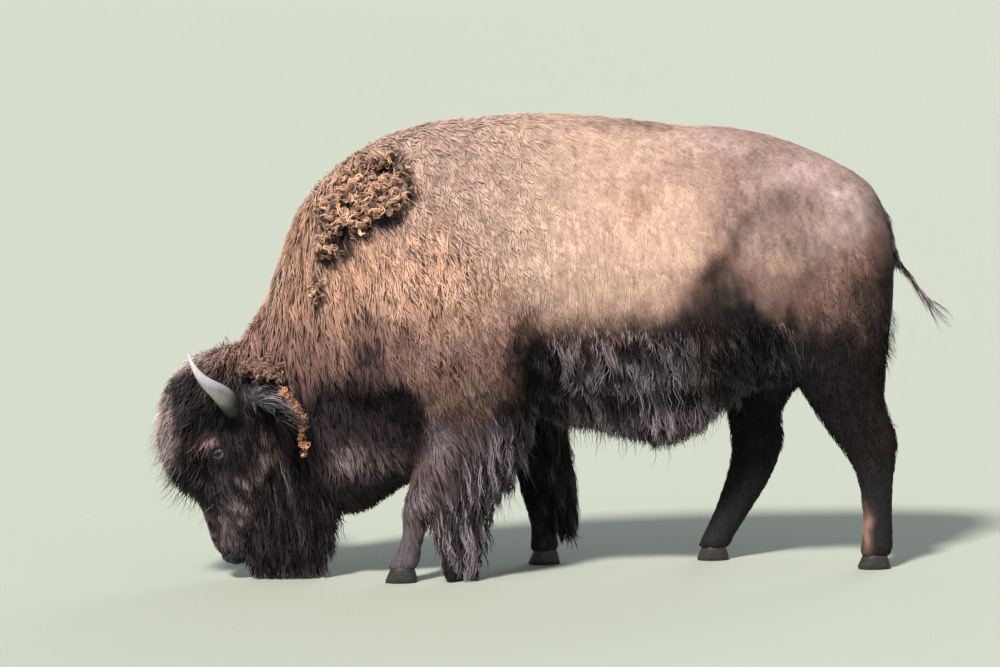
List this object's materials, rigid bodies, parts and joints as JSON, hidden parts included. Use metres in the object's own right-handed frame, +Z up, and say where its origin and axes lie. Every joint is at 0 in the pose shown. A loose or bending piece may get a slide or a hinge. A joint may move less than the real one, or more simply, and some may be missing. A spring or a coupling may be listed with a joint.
{
  "type": "american bison",
  "caption": "Life-size still model of a grazing American bison bull, head down, with hump, horns, beard, chaps and belly fringe.",
  "frame": {"origin": "on the ground under the middle of the whole animal's box", "axes": "+Z up; the animal faces -X, so +X points to its tail; its left side is -Y"},
  "size_m": [2.888, 0.7144, 1.7205],
  "materials": {
    "wool": "matt brown body wool",
    "dark_hair": "matt brown-black long hair",
    "face": "short dark hair over skin, moist nose",
    "horn": "pale grey horn, rough and dark at the base, satin at the tip",
    "hoof": "satin dark horn",
    "eye": "wet gloss"
  },
  "bodies": {
    "root": {"head": "face", "muzzle": "face", "neck": "dark_hair", "forequarters": "wool", "barrel": "wool", "hindquarters": "wool", "horn_left": "horn", "eye_left": "eye", "ear_left": "dark_hair", "horn_right": "horn", "eye_right": "eye", "ear_right": "dark_hair", "forelock": "dark_hair", "beard": "dark_hair", "foreleg_left": "wool", "cannon_fore_left": "dark_hair", "hoof_fore_left_outer": "hoof", "hoof_fore_left_inner": "hoof", "foreleg_right": "wool", "cannon_fore_right": "dark_hair", "hoof_fore_right_outer": "hoof", "hoof_fore_right_inner": "hoof", "thigh_left": "wool", "cannon_hind_left": "dark_hair", "hoof_hind_left_outer": "hoof", "hoof_hind_left_inner": "hoof", "thigh_right": "wool", "cannon_hind_right": "dark_hair", "hoof_hind_right_outer": "hoof", "hoof_hind_right_inner": "hoof", "chaps_left": "dark_hair", "chaps_right": "dark_hair", "belly_fringe": "dark_hair", "tail": "dark_hair", "tail_tuft": "dark_hair"}
  },
  "joints": []
}
